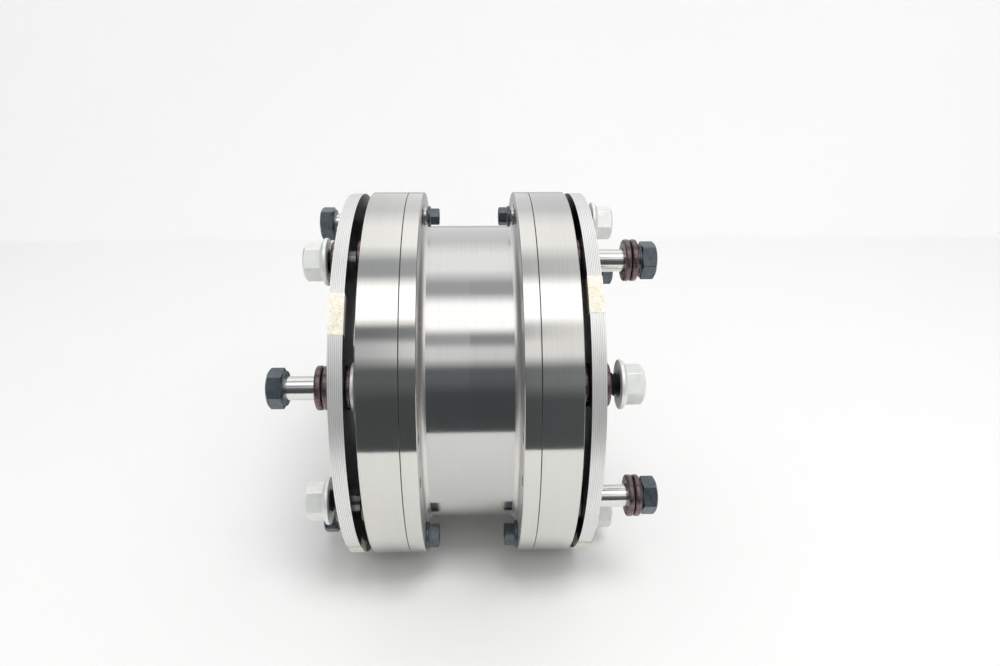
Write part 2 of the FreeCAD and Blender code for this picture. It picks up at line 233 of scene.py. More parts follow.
class Graph:
    """A short way to build one material's or the world's node tree."""

    def __init__(self, owner):
        owner.use_nodes = True
        self.tree = owner.node_tree
        self.tree.nodes.clear()

    def add(self, kind, settings=None, **inputs):
        made = self.tree.nodes.new(kind)
        for key, value in (settings or {}).items():
            setattr(made, key, value)
        for key, value in inputs.items():
            self.feed(made.inputs[key.replace("_", " ")], value)
        return made

    def feed(self, socket, value):
        if isinstance(value, bpy.types.NodeSocket):
            self.tree.links.new(value, socket)
        else:
            socket.default_value = value

    def math(self, operation, first, second=0.0):
        made = self.add("ShaderNodeMath", {"operation": operation})
        for socket, value in zip(made.inputs, (first, second)):
            self.feed(socket, value)
        return made.outputs[0]

    def mix(self, factor, first, second):
        """A colour between two colours. The mix node's colour sockets are inputs 6 and 7 and output 2."""
        made = self.add("ShaderNodeMix", {"data_type": "RGBA"})
        self.feed(made.inputs[0], factor)
        for number, colour in ((6, first), (7, second)):
            self.feed(made.inputs[number], (*colour, 1.0) if isinstance(colour, tuple) else colour)
        return made.outputs[2]

    def noise(self, vector, scale, detail=2.0, roughness=0.5):
        made = self.add("ShaderNodeTexNoise", Vector=vector, Scale=scale, Detail=detail, Roughness=roughness)
        return made.outputs["Fac"]

    def range(self, value, low, high, to_low=0.0, to_high=1.0):
        made = self.add("ShaderNodeMapRange", Value=value)
        made.clamp = True
        for name, number in (("From Min", low), ("From Max", high), ("To Min", to_low), ("To Max", to_high)):
            self.feed(made.inputs[name], number)
        return made.outputs["Result"]

    def ramp(self, value, stops):
        """A colour ramp from (place, (r, g, b)) stops."""
        made = self.add("ShaderNodeValToRGB")
        marks = made.color_ramp.elements
        while len(marks) < len(stops):
            marks.new(0.5)
        for mark, (place, colour) in zip(marks, stops):
            mark.position = place
            mark.color = (*colour, 1.0)
        self.feed(made.inputs[0], value)
        return made.outputs["Color"]

    def position(self):
        """The shaded point in its own object's frame, then its x, radius and angle about X."""
        coordinates = self.add("ShaderNodeTexCoord").outputs["Object"]
        x, y, z = self.add("ShaderNodeSeparateXYZ", Vector=coordinates).outputs
        squares = self.math("ADD", self.math("MULTIPLY", y, y), self.math("MULTIPLY", z, z))
        return coordinates, x, self.math("SQRT", squares), self.math("ARCTAN2", z, y)

    def vector(self, x, y, z):
        return self.add("ShaderNodeCombineXYZ", X=x, Y=y, Z=z).outputs[0]


def principled(name, build):
    """A material whose principled inputs are returned by build(graph) as a dict."""
    made = bpy.data.materials.new(name)
    graph = Graph(made)
    settings = build(graph)
    shader = graph.add("ShaderNodeBsdfPrincipled")
    for key, value in settings.items():
        if isinstance(value, tuple) and len(value) == 3:
            value = (*value, 1.0)
        graph.feed(shader.inputs[key], value)
    output = graph.add("ShaderNodeOutputMaterial")
    graph.tree.links.new(shader.outputs[0], output.inputs["Surface"])
    return made


def turning_lines(graph, lines_per_mm=5.0, wander=2.0):
    """Fine rings of tool marks about the X axis, from 0 to 1, then the position they are made from."""
    where, x, radius, angle = graph.position()
    across = graph.math("MULTIPLY", x, lines_per_mm / MM)
    outwards = graph.math("MULTIPLY", radius, lines_per_mm / MM)
    around = graph.math("MULTIPLY", angle, wander)
    return graph.noise(graph.vector(across, outwards, around), 1.0, 3.0, 0.6), where, x, radius, angle


def turned_metal(name, colour, dull, rough_low, rough_high, spread, smears=0.5):
    """Bright metal turned on a lathe: fine rings, faint smears and a highlight drawn out along the axis."""
    def build(graph):
        fine, where, x, radius, angle = turning_lines(graph)
        coarse = turning_lines(graph, 1.1, 0.7)[0]
        cloud = graph.noise(where, 28.0, 4.0, 0.62)
        drawn_out = graph.vector(graph.math("MULTIPLY", x, 130.0), radius, graph.math("MULTIPLY", angle, 9.0))
        smear = graph.range(graph.noise(drawn_out, 1.0, 4.0, 0.65), 0.55, 0.75)
        lines = graph.math("ADD", graph.math("MULTIPLY", fine, 0.6), graph.math("MULTIPLY", coarse, 0.4))
        rough = graph.range(lines, 0.3, 0.7, rough_low, rough_high)
        rough = graph.math("ADD", rough, graph.math("MULTIPLY", smear, 0.06 * smears))
        shade = graph.range(lines, 0.3, 0.7)
        tone = graph.mix(shade, colour, dull)
        stains = graph.math("MULTIPLY", graph.range(cloud, 0.55, 0.8), 0.25 * smears)
        tone = graph.mix(stains, tone, (0.58, 0.52, 0.44))
        grain = graph.noise(where, 1000.0, 2.0, 0.6)
        relief = graph.math("ADD", graph.math("MULTIPLY", lines, 0.2), grain)
        bump = graph.add("ShaderNodeBump", Height=relief, Strength=1.0, Distance=0.005 * MM)
        tangent = graph.add("ShaderNodeTangent", {"direction_type": "RADIAL", "axis": "X"})
        return {"Base Color": tone, "Metallic": 1.0, "Roughness": rough, "Anisotropic": spread,
                "Anisotropic Rotation": 0.25, "Tangent": tangent.outputs[0], "Normal": bump.outputs[0]}
    return principled(name, build)


def rolled_sheet(name, shade=1.0):
    """Dull sheet steel, grey and even. shade darkens it; a darkened copy is painted shade for the grooves
    between discs.
    """
    def build(graph):
        lines, where = turning_lines(graph, 2.0, 3.0)[:2]
        cloud = graph.noise(where, 60.0, 4.0, 0.6)
        colours = ((0.88, 0.88, 0.865), (0.80, 0.80, 0.78), (0.68, 0.67, 0.64))
        pale, dull, stain = [tuple(shade * c for c in colour) for colour in colours]
        tone = graph.mix(graph.range(lines, 0.3, 0.7), pale, dull)
        tone = graph.mix(graph.math("MULTIPLY", graph.range(cloud, 0.5, 0.75), 0.4), tone, stain)
        bump = graph.add("ShaderNodeBump", Height=lines, Strength=0.15, Distance=0.02 * MM)
        return {"Base Color": tone, "Metallic": 0.72, "Roughness": 0.40, "Normal": bump.outputs[0]}
    return principled(name, build)


def black_oxide(name, low=(0.070, 0.084, 0.098), high=(0.125, 0.148, 0.168), rough=0.30, metallic=0.8):
    """Blackened steel with an oily, slightly blue sheen."""
    def build(graph):
        where = graph.position()[0]
        cloud = graph.noise(where, 260.0, 5.0, 0.65)
        grain = graph.noise(where, 2600.0, 2.0, 0.5)
        tone = graph.mix(graph.range(cloud, 0.35, 0.7), low, high)
        roughness = graph.range(cloud, 0.3, 0.75, rough - 0.07, rough + 0.1)
        relief = graph.math("ADD", cloud, graph.math("MULTIPLY", grain, 0.4))
        bump = graph.add("ShaderNodeBump", Height=relief, Strength=0.12, Distance=0.05 * MM)
        return {"Base Color": tone, "Metallic": metallic, "Roughness": roughness, "Normal": bump.outputs[0],
                "Coat Weight": 0.25, "Coat Roughness": 0.25}
    return principled(name, build)


def zinc_plate(name):
    """Pale zinc plate, cloudy and softly bright."""
    def build(graph):
        where = graph.position()[0]
        cloud = graph.noise(where, 190.0, 5.0, 0.6)
        grain = graph.noise(where, 1800.0, 3.0, 0.6)
        tone = graph.mix(graph.range(cloud, 0.3, 0.7), (0.86, 0.87, 0.85), (0.75, 0.76, 0.73))
        roughness = graph.range(cloud, 0.3, 0.7, 0.30, 0.42)
        relief = graph.math("ADD", cloud, graph.math("MULTIPLY", grain, 0.5))
        bump = graph.add("ShaderNodeBump", Height=relief, Strength=0.2, Distance=0.04 * MM)
        return {"Base Color": tone, "Metallic": 0.5, "Roughness": roughness, "Normal": bump.outputs[0]}
    return principled(name, build)


def masking_tape(name):
    """Pale crepe paper: crinkled across its width, with thin brown squiggles and yellowed blotches."""
    def build(graph):
        where, x, radius, angle = graph.position()
        across = graph.math("MULTIPLY", graph.math("ADD", x, radius), 800.0)
        along = graph.vector(across, 0.0, graph.math("MULTIPLY", angle, 105.0))
        ridges = graph.noise(along, 1.0, 3.0, 0.6)
        distance = graph.math("ABSOLUTE", graph.math("SUBTRACT", ridges, 0.5))
        squiggle = graph.range(distance, 0.015, 0.06, 1.0, 0.0)
        blotch = graph.noise(where, 260.0, 3.0, 0.6)
        tone = graph.mix(graph.range(blotch, 0.4, 0.65), (0.82, 0.805, 0.755), (0.76, 0.725, 0.62))
        tone = graph.mix(graph.math("MULTIPLY", squiggle, graph.range(blotch, 0.30, 0.6, 0.4, 0.8)), tone,
                         (0.53, 0.45, 0.29))
        bump = graph.add("ShaderNodeBump", Height=ridges, Strength=0.9, Distance=0.25 * MM)
        return {"Base Color": tone, "Metallic": 0.0, "Roughness": 0.55, "Normal": bump.outputs[0],
                "Specular IOR Level": 0.4}
    return principled(name, build)


STEEL = turned_metal("turned_steel", (0.70, 0.69, 0.66), (0.65, 0.64, 0.61), 0.10, 0.14, 0.9)
TUBE_STEEL = turned_metal("tube_steel", (0.61, 0.605, 0.59), (0.57, 0.565, 0.55), 0.125, 0.17, 0.9, 0.7)
FILLET_STEEL = turned_metal("fillet_steel", (0.80, 0.79, 0.77), (0.72, 0.71, 0.69), 0.34, 0.42, 0.3, 0.7)
# Near-black steel: painted shade for the faces seen deep in the gap between a ring and its pack.
PAINTED_SHADE_STEEL = turned_metal("painted_shade_steel", (0.10, 0.11, 0.12), (0.07, 0.08, 0.09), 0.30, 0.40, 0.3, 0.3)
# Dark steel: painted shade for the groove where a flange's outer chamfer meets its ring's chamfer.
JOINT_SHADE_STEEL = turned_metal("joint_shade_steel", (0.30, 0.29, 0.28), (0.22, 0.21, 0.20), 0.35, 0.45, 0.2, 0.3)
DISC_STEEL = rolled_sheet("disc_steel")
# Darker sheet steel: painted shade for the grooves between neighbouring discs.
DISC_JOINT_SHADE = rolled_sheet("disc_seam_steel", 0.66)
GROUND_STEEL = turned_metal("ground_bolt_steel", (0.80, 0.79, 0.77), (0.74, 0.73, 0.71), 0.12, 0.2, 0.4, 0.2)
BLACK = black_oxide("black_bolt_steel")
BLACK_THREAD = black_oxide("black_thread_steel", (0.016, 0.019, 0.024), (0.05, 0.057, 0.068), 0.40)
BLACK_SCREW = black_oxide("black_screw_steel", (0.07, 0.085, 0.095), (0.13, 0.15, 0.165), 0.32)
DARK_WASHER = black_oxide("dark_washer_steel", (0.105, 0.075, 0.076), (0.25, 0.185, 0.187), 0.28, 0.88)
ZINC = zinc_plate("zinc_plate")
TAPE = masking_tape("masking_tape")


# ---------------------------------------------------------------- sizes read from the frame

def size_of(node):
    low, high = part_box(node)
    return high - low


def reach(node):
    """Nearest and farthest distance of a node from the middle plane, along the axis."""
    low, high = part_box(node)
    return min(abs(low.x), abs(high.x)), max(abs(low.x), abs(high.x))


def nearest_radius(node):
    """Smallest distance of a node's surface from the X axis."""
    return min(math.hypot(v.co.y, v.co.z) for v in NODES[node].data.vertices)


FLANGE_RADIUS = 0.5 * size_of("spacer").y
FLANGE_OUTER = reach("spacer")[1]
RING_FACE = reach("adapter_ring_right")[1]
SPIGOT_END = reach("adapter_ring_right")[0]
TUBE_BORE = nearest_radius("spacer")
RING_BORE = nearest_radius("adapter_ring_right")
PACK_RADIUS = 0.5 * size_of("disc_pack_left").y
PACK_BORE = nearest_radius("disc_pack_left")
PACK_WIDTH = size_of("disc_pack_left").x
DISC_COUNT = 8

FLANGE_THICKNESS = 9.0 * MM
FLANGE_INNER = FLANGE_OUTER - FLANGE_THICKNESS
TUBE_RADIUS = 93.2 * MM
TUBE_FILLET = 3.5 * MM
WITNESS_LINE = 0.4 * MM
SPIGOT_CLEARANCE = 0.05 * MM
# Turned edges are broken by this much
SMALL_EDGE = 0.3 * MM
# A cut reaches past the face that it starts from by this much
CUT_MARGIN = 1.0 * MM
# A hub nut stands this far clear of its thrust washer
FACE_GAP = 0.02 * MM
POCKET_RADIUS = 14.3 * MM
BODY_HOLE_RADIUS = 6.42 * MM
SCREW_HOLE_RADIUS = 3.2 * MM
LARGE_SCREW_HOLE_RADIUS = 4.0 * MM
SCREW_POCKET_RADIUS = 5.2 * MM
SCREW_POCKET_DEPTH = 6.8 * MM
HEAD_SHOULDER = 11.0 * MM
# Each end has four fasteners of a kind, numbered in their nodes' names
FASTENERS = range(1, 5)

HEAD_FLATS = 19.05 * MM
HEAD_HEIGHT = 9.4 * MM
BODY_RADIUS = 6.35 * MM
BODY_LENGTH = 26.0 * MM
BOLT_LENGTH = 41.275 * MM
THREAD_PITCH = 25.4 * MM / 13
THREAD_DEPTH = 0.95 * MM
CHAMFER_RISE = math.tan(math.radians(30.0))
NUT_FLATS = 19.05 * MM
NUT_HEIGHT = 13.4 * MM
NUT_END_RADIUS = 8.4 * MM
NUT_END_RISE = math.tan(math.radians(32.0))
NUT_FLANGE_RADIUS = 13.35 * MM
NUT_BORE = 6.36 * MM
WASHER_BORE = 6.75 * MM
WASHER_ROUNDING = 1.1 * MM


# ---------------------------------------------------------------- spacer, rings, packs

def spacer():
    """Tube and flanges in one piece, with the tapped holes for the ring screws and balancing screws."""
    steps = 10
    depth = 0.012 * MM
    witness_line = [(-WITNESS_LINE, TUBE_RADIUS), (0.0, TUBE_RADIUS - depth), (WITNESS_LINE, TUBE_RADIUS)]
    points = []
    for side in (-1, 1):
        bend = [(side * (FLANGE_INNER - TUBE_FILLET + TUBE_FILLET * math.sin(t)),
                 TUBE_RADIUS + TUBE_FILLET * (1 - math.cos(t)))
                for t in [0.5 * math.pi * k / steps for k in range(steps + 1)]]
        edge = [(side * FLANGE_INNER, FLANGE_RADIUS - SMALL_EDGE),
                (side * (FLANGE_INNER + SMALL_EDGE), FLANGE_RADIUS),
                (side * (FLANGE_OUTER - SMALL_EDGE), FLANGE_RADIUS),
                (side * FLANGE_OUTER, FLANGE_RADIUS - SMALL_EDGE),
                (side * FLANGE_OUTER, TUBE_BORE)]
        run = bend + edge
        points += run if side > 0 else list(reversed(run)) + witness_line
    slots = [TUBE_STEEL, STEEL, FILLET_STEEL, JOINT_SHADE_STEEL]
    body = revolved("spacer_body", points, slots)
    for face in body.data.polygons:
        place = abs(face.center.x)
        radius = math.hypot(face.center.y, face.center.z)
        # The flange's outer chamfer gets painted shade for the groove at its joint with the ring.
        if place > FLANGE_OUTER - 0.9 * SMALL_EDGE and radius > FLANGE_RADIUS - SMALL_EDGE:
            face.material_index = slots.index(JOINT_SHADE_STEEL)
        elif place > FLANGE_INNER + 0.1 * MM:
            face.material_index = slots.index(STEEL)
        elif place > FLANGE_INNER - TUBE_FILLET and radius > TUBE_RADIUS - MM:
            face.material_index = slots.index(FILLET_STEEL)
    holes = []
    kinds = (("ring_screws", SCREW_HOLE_RADIUS, CUT_MARGIN),
             ("balance_screws_small", SCREW_HOLE_RADIUS, -CUT_MARGIN),
             ("balance_screws_large", LARGE_SCREW_HOLE_RADIUS, -CUT_MARGIN))
    for node, radius, beyond in kinds:
        for low, high in solids(node):
            side = 1 if low.x + high.x > 0 else -1
            span = (side * (FLANGE_INNER - CUT_MARGIN), side * (FLANGE_OUTER + beyond))
            holes.append((*span, *axis_of(low, high), radius))
    cut_round_holes(body, holes, 32)
    return body


def bolt_places(nodes):
    """(y, z) of each bolt axis, from the boxes of the numbered nodes that stand on one bolt each."""
    return [axis_of(*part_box("%s_%d" % (nodes, k))) for k in FASTENERS]


def adapter_ring(end, side):
    """The ring between a flange and a pack, with its pockets."""
    face, back, spigot = RING_FACE, FLANGE_OUTER, TUBE_BORE - SPIGOT_CLEARANCE
    profile = [(back, spigot), (back, FLANGE_RADIUS - SMALL_EDGE), (back + SMALL_EDGE, FLANGE_RADIUS),
               (face - SMALL_EDGE, FLANGE_RADIUS), (face, FLANGE_RADIUS - SMALL_EDGE),
               (face, RING_BORE + SMALL_EDGE), (face - SMALL_EDGE, RING_BORE),
               (SPIGOT_END, RING_BORE), (SPIGOT_END, spigot)]
    # Band 4, the ring's face towards the pack, gets painted shade for the dark gap.
    bands = [0, 2, 0, 0, 1, 0, 0, 0, 0]
    # Band 1, the chamfer that meets the flange's, gets painted shade for the groove of the joint.
    body = revolved("ring_body_" + end, [(side * x, r) for x, r in profile],
                    [STEEL, PAINTED_SHADE_STEEL, JOINT_SHADE_STEEL], bands)
    hubs = bolt_places("hub_bolt_" + end)
    packs = bolt_places("pack_nut_" + end)
    beyond, shoulder = face + CUT_MARGIN, face - HEAD_SHOULDER
    start = back - 0.01 * MM
    holes = [(side * start, side * beyond, *place, POCKET_RADIUS) for place in hubs]
    holes += [(side * start, side * shoulder, *place, POCKET_RADIUS) for place in packs]
    holes += [(side * (shoulder - CUT_MARGIN), side * beyond, *place, BODY_HOLE_RADIUS) for place in packs]
    floor = face - SCREW_POCKET_DEPTH
    for low, high in solids("ring_screws"):
        if (low.x + high.x) * side > 0:
            holes.append((side * floor, side * beyond, *axis_of(low, high), SCREW_POCKET_RADIUS))
    cut_round_holes(body, holes)
    return body


def disc_pack(end, side):
    """Thin discs side by side, each with a slightly rounded rim."""
    near = reach("disc_pack_" + end)[0]
    width = PACK_WIDTH / DISC_COUNT
    edge = 0.10 * MM
    discs = []
    for k in range(DISC_COUNT):
        start = near + k * width
        stop = start + width
        rim = PACK_RADIUS - 0.3 * edge
        profile = [(start, PACK_BORE), (start, PACK_RADIUS - edge), (start + 0.35 * edge, rim),
                   (start + edge, PACK_RADIUS), (stop - edge, PACK_RADIUS), (stop - 0.35 * edge, rim),
                   (stop, PACK_RADIUS - edge), (stop, PACK_BORE)]
        # The first disc's face towards the ring gets painted shade for the dark gap.
        facing_ring = 1 if k == 0 else 0
        # Each disc's rounded rim edges get painted shade for the grooves between the discs.
        disc = revolved("disc_%s_%d" % (end, k + 1), [(side * x, r) for x, r in profile],
                        [DISC_STEEL, PAINTED_SHADE_STEEL, DISC_JOINT_SHADE], [facing_ring, 2, 2, 0, 2, 2, 0, 0])
        discs.append(disc)
    return discs


def tape_path(near, far, inner):
    """(distance from the middle plane, radius) points over a pack's rim, from one face to the other."""
    outer = PACK_RADIUS + 0.1 * MM
    rim = outer + 0.05 * MM
    fold, across = 8, 10
    path = [(near + 0.1 * MM, inner + (outer - inner) * k / fold) for k in range(fold)]
    path += [(near + (far - near) * k / across, rim) for k in range(across + 1)]
    path += [(far - 0.1 * MM, outer - (outer - inner) * k / fold) for k in range(1, fold + 1)]
    return path


def tape_point(j, share, number, side, path, start, stop):
    """A point of a strip of tape: place j of its path, at a share of its length from 0 to 1."""
    x, radius = path[j]
    from_ends = 4 * share * (1 - share)
    seed = Vector((j * 0.35, number * 7.0 + side, share * 3.0))
    ragged = noise.noise(seed * 2.0) * 0.010 * (1 - from_ends)
    crinkle = 0.12 * MM * noise.noise(Vector((j * 0.6, number * 5.0 + side, share * 55.0)))
    angle = start + (stop - start) * (0.03 + 0.94 * share) + ragged
    return turn_point(side * x, radius + abs(crinkle), angle)


def tape_strips(end, side):
    """Strips of tape folded over a pack's rim, with wavy cut edges and small wrinkles."""
    columns = 60
    strips = []
    for number, (low, high) in enumerate(solids("tape_" + end)):
        near, far = sorted((abs(low.x), abs(high.x)))
        corners = [v.co for v in NODES["tape_" + end].data.vertices
                   if low.z - MM < v.co.z < high.z + MM]
        turns = [math.atan2(v.z, -v.y) for v in corners]
        start, stop = min(turns), max(turns)
        path = tape_path(near, far, min(math.hypot(v.y, v.z) for v in corners))
        vertices = [tape_point(j, k / columns, number, side, path, start, stop)
                    for j in range(len(path)) for k in range(columns + 1)]
        faces = []
        for j in range(len(path) - 1):
            for k in range(columns):
                first = j * (columns + 1) + k
                faces.append((first, first + 1, first + columns + 2, first + columns + 1))
        name = "tape_strip_%s_%d" % (end, number + 1)
        strips.append(mesh_object(name, vertices, faces, [TAPE], sharp_degrees=60.0))
    return strips


# ---------------------------------------------------------------- fasteners

def stand_on_bolt(thing, x, y, z, side):
    """Puts a piece drawn along +X at its place. side is -1 when it points towards -X."""
    turn = Matrix.Rotation(math.pi, 4, "Z") if side < 0 else Matrix.Identity(4)
    thing.matrix_world = Matrix.Translation(Vector((x, y, z))) @ turn
    bpy.context.view_layer.update()
    return thing


def own_corner(corner, side):
    """A hexagon's corner angle as the piece sees it, before it is turned round to point along -X."""
    return corner if side > 0 else -corner + 180.0


def thread_radius(x, angle, start, end):
    """Radius of a right-hand thread's surface, fading out at its inner end."""
    turn = (x / THREAD_PITCH + angle / (2 * math.pi)) % 1.0
    height = 1.0 - abs(2.0 * turn - 1.0)
    height = min(max(height * 1.25 - 0.1, 0.0), 1.0)
    fade = min(max((x - start) / THREAD_PITCH, 0.0), 1.0)
    last = min(max((end - x) / (0.5 * THREAD_PITCH), 0.35), 1.0)
    crest = BODY_RADIUS - 0.05 * MM
    return crest - THREAD_DEPTH * (1.0 - height * last) * fade - 0.35 * MM * (1.0 - last)


def bolt_rows(corner):
    """Rows of a bolt from its head's outer face to its tip, with the slot of the band after each."""
    flat = flat_circle(HEAD_FLATS)
    face = 0.48 * HEAD_FLATS
    rows = [(-HEAD_HEIGHT + 0.15 * MM, 0.0), (-HEAD_HEIGHT + 0.15 * MM, flat * 0.80),
            (-HEAD_HEIGHT, flat * 0.84), (-HEAD_HEIGHT, flat * 0.985), (-HEAD_HEIGHT + 0.08 * MM, flat),
            hex_row(-HEAD_HEIGHT + 0.1 * MM, corner, HEAD_FLATS, CHAMFER_RISE),
            hex_row(-1.2 * MM, corner, HEAD_FLATS, -0.35 * CHAMFER_RISE),
            (-0.75 * MM, face + 0.15 * MM), (-0.7 * MM, face), (-0.1 * MM, face), (0.0, face - 0.15 * MM),
            (0.0, BODY_RADIUS), (BODY_LENGTH - 0.3 * MM, BODY_RADIUS)]
    slots = [0] * (len(rows) - 2) + [1]
    rows_per_pitch = 12
    threaded = BOLT_LENGTH - BODY_LENGTH
    count = int(threaded / THREAD_PITCH * rows_per_pitch)
    for k in range(count + 1):
        x = BODY_LENGTH + threaded * k / count
        rows.append(lambda angle, x=x: (x, thread_radius(x, angle, BODY_LENGTH, BOLT_LENGTH)))
        slots.append(2)
    rows.append((BOLT_LENGTH, 0.0))
    slots.append(2)
    return rows, slots


def hex_bolt(name, seat, y, z, side, corner):
    """A bolt whose head bears at seat and whose shank points along side."""
    own = own_corner(corner, side)
    rows, slots = bolt_rows(own)
    bolt = swept(name, rows, hex_angles(own), [BLACK, GROUND_STEEL, BLACK_THREAD], slots)
    return stand_on_bolt(bolt, seat, y, z, side)


def flange_nut(name, seat, y, z, side, corner):
    """A flange nut: its flange bears at seat and its drawn-in end, with pressed marks, points along side."""
    own = own_corner(corner, side)
    flange, bore = NUT_FLANGE_RADIUS, NUT_BORE
    shoulder = 0.5 * NUT_FLATS

    def side_row(angle):
        """Where the hexagon rises out of the flange."""
        radius = hex_radius(angle, own, NUT_FLATS)
        return 3.75 * MM - 0.2 * max(radius - shoulder, 0.0), radius

    def cone_row(share, depth):
        """A row of the end cone, from the hexagon (0) to the end's rim (1), with six pressed marks."""
        def row(angle):
            edge = hex_radius(angle, own, NUT_FLATS) - 0.05 * MM
            radius = edge + share * (NUT_END_RADIUS - edge)
            around = (math.degrees(angle) - own) % HEX_SIDE - 0.5 * HEX_SIDE
            mark = depth * math.exp(-(around / 3.5) ** 2)
            return NUT_HEIGHT - NUT_END_RISE * (radius - NUT_END_RADIUS) - mark, radius - mark
        return row

    rows = [(0.9 * MM, bore), (0.0, bore + 1.2 * MM), (0.0, flange - 0.6 * MM),
            (0.12 * MM, flange - 0.2 * MM), (0.5 * MM, flange), (1.6 * MM, flange),
            (2.0 * MM, flange - 0.18 * MM), (2.25 * MM, flange - 0.6 * MM),
            (3.4 * MM, shoulder + 1.75 * MM), side_row, cone_row(0.0, 0.0), cone_row(0.3, 0.12 * MM),
            cone_row(0.6, 0.3 * MM), cone_row(0.95, 0.3 * MM), (NUT_HEIGHT, NUT_END_RADIUS - 0.25 * MM),
            (NUT_HEIGHT, bore + 0.6 * MM), (NUT_HEIGHT - 0.9 * MM, bore)]
    nut = swept(name, rows, hex_angles(own), [ZINC], closed=True)
    return stand_on_bolt(nut, seat, y, z, side)


def washer_profile(start, thickness, outer, bore, rounding):
    """Points round a washer's section, with a rounded rim."""
    end = start + thickness
    steps, edge = 6, 0.15 * MM
    points = [(start, bore + edge), (start, outer - rounding)]
    for k in range(1, steps + 1):
        turn = 0.5 * math.pi * k / steps
        points.append((start + rounding * (1 - math.cos(turn)), outer - rounding * (1 - math.sin(turn))))
    for k in range(steps + 1):
        turn = 0.5 * math.pi * k / steps
        points.append((end - rounding * (1 - math.sin(turn)), outer - rounding * (1 - math.cos(turn))))
    return points + [(end, bore + edge), (end - edge, bore), (start + edge, bore)]


def washer(name, low, high, bore, rounding, slot):
    """A washer that fills a box of the frame."""
    thickness = high.x - low.x
    profile = washer_profile(-0.5 * thickness, thickness, 0.5 * (high.z - low.z), bore, rounding)
    ring = revolved(name, profile, [slot], count=96)
    ring.location = 0.5 * (low + high)
    bpy.context.view_layer.update()
    return ring


def washers(name, node, bore, rounding, slot):
    """A washer for each solid of a node."""
    return [washer("%s_%d" % (name, i + 1), low, high, bore, rounding, slot)
            for i, (low, high) in enumerate(solids(node))]


def balance_screw(name, node, low, high, side, head, flats, shank):
    """A balancing screw: its head is nearer the middle plane and its shank points along side."""
    y, z = axis_of(low, high)
    start = low.x if side > 0 else high.x
    corner = own_corner(corner_degrees(node, start, start + side * 0.8 * head, y, z), side)
    flat, length, point = flat_circle(flats), high.x - low.x, 0.5 * MM
    rows = [(0.35 * MM, 0.0), (0.35 * MM, 0.55 * flat), (0.0, 0.62 * flat), (0.0, flat),
            hex_row(0.05 * MM, corner, flats, CHAMFER_RISE),
            hex_row(head, corner, flats, -0.3 * CHAMFER_RISE), (head, shank),
            (length - point, shank), (length, shank - point), (length, 0.0)]
    screw = swept(name, rows, hex_angles(corner), [BLACK_SCREW])
    return stand_on_bolt(screw, start, y, z, side)


def socket_screw(name, low, high, side):
    """A ring screw with its head sunk in the ring's outer face."""
    y, z = axis_of(low, high)
    start = high.x if side > 0 else low.x
    radius, head, shank, socket = 4.75 * MM, 6.35 * MM, 3.1 * MM, 4.76 * MM
    length, point = high.x - low.x, 0.8 * MM
    rows = [(0.5 * head, 0.0), hex_row(0.5 * head, 0.0, socket), hex_row(0.1 * MM, 0.0, socket),
            (0.0, 2.9 * MM), (0.0, radius - 0.6 * MM), (0.5 * MM, radius), (head, radius), (head, shank),
            (length - point, shank), (length, shank - point), (length, 0.0)]
    screw = swept(name, rows, hex_angles(0.0), [BLACK_SCREW])
    return stand_on_bolt(screw, start, y, z, -side)


# ---------------------------------------------------------------- assembly

def body_holding(node):
    return next(body for body, nodes in frame["record"]["behaviour"]["bodies"].items() if node in nodes)


def stand_for(things, node):
    """These pieces take a CAD node's place and ride on its body."""
    for thing in things:
        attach(thing, body_holding(node))
        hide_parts(node)


def build_body():
    stand_for([spacer()], "spacer")
    for end, side in END_SIDES:
        stand_for([adapter_ring(end, side)], "adapter_ring_" + end)
        stand_for(disc_pack(end, side), "disc_pack_" + end)
        stand_for(tape_strips(end, side), "tape_" + end)


def build_hub_fasteners(end, side):
    """Bolts with their heads outside: each has a nut in the ring's pocket and two loose washers."""
    for k in FASTENERS:
        name = "%s_%d" % (end, k)
        y, z = axis_of(*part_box("hub_bolt_" + name))
        outer = side * reach("hub_bolt_" + name)[1]
        corner = corner_degrees("hub_bolt_" + name, outer - side * 3 * MM, outer - side * 8 * MM, y, z)
        bolt = hex_bolt("bolt_hub_" + name, outer - side * HEAD_HEIGHT, y, z, -side, corner)
        stand_for([bolt], "hub_bolt_" + name)
        face = side * reach("hub_nut_" + name)[1]
        corner = corner_degrees("hub_nut_" + name, face - side * 5 * MM, face - side * 10 * MM, y, z)
        nut = flange_nut("nut_hub_" + name, face - side * FACE_GAP, y, z, -side, corner)
        stand_for([nut], "hub_nut_" + name)
        pair = washers("washer_hub_" + name, "hub_washers_" + name, WASHER_BORE, WASHER_ROUNDING, DARK_WASHER)
        stand_for(pair, "hub_washers_" + name)
    node = "hub_thrust_washers_" + end
    thrust = washers("washer_thrust_" + end, node, WASHER_BORE, 0.8 * MM, DARK_WASHER)
    stand_for(thrust, node)


def build_pack_nuts(end, side):
    """Nuts and washers outside a pack."""
    for k in FASTENERS:
        name = "%s_%d" % (end, k)
        y, z = axis_of(*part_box("pack_nut_" + name))
        face = side * reach("pack_nut_" + name)[0]
        corner = corner_degrees("pack_nut_" + name, face + side * 5 * MM, face + side * 10 * MM, y, z)
        nut = flange_nut("nut_pack_" + name, face, y, z, side, corner)
        stand_for([nut], "pack_nut_" + name)
        low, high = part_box("pack_washer_" + name)
        one = washer("washer_pack_" + name, low, high, WASHER_BORE, WASHER_ROUNDING, DARK_WASHER)
        stand_for([one], "pack_washer_" + name)


